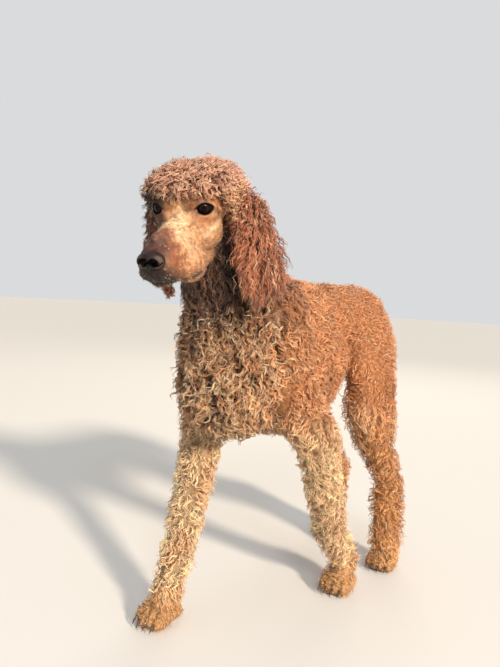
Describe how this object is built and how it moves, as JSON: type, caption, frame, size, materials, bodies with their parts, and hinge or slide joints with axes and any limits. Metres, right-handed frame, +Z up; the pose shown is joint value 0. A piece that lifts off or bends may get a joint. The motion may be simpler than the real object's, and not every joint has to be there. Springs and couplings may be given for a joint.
{
  "type": "standard poodle",
  "caption": "Life-size walking dog with a curly coat, a rounded topknot, a close-clipped face, long wavy ears and a low tail.",
  "frame": {"origin": "centre of the bounding box on the floor between the four feet", "axes": "+X the dog's left, +Y towards its tail so that it walks along -Y, +Z up"},
  "size_m": [0.2765, 0.8247, 0.7728],
  "materials": {
    "coat": "curly apricot-red hair",
    "legs": "woolly light apricot hair",
    "face": "close-clipped light hair",
    "ears": "long wavy red-brown hair",
    "nose": "moist dark brown",
    "eyes": "wet dark brown"
  },
  "bodies": {
    "root": {"chest": "coat", "ear_left": "ears", "ear_right": "ears", "eye_left": "eyes", "eye_right": "eyes", "front_left_forearm": "legs", "front_left_paw": "legs", "front_left_upper_arm": "legs", "front_right_forearm": "legs", "front_right_paw": "legs", "front_right_upper_arm": "legs", "head": "face", "hind_left_hock": "legs", "hind_left_paw": "legs", "hind_left_shank": "legs", "hind_left_thigh": "legs", "hind_right_hock": "legs", "hind_right_paw": "legs", "hind_right_shank": "legs", "hind_right_thigh": "legs", "loin": "coat", "lower_jaw": "face", "neck": "coat", "nose": "nose", "tail": "coat", "topknot": "coat"}
  },
  "joints": []
}
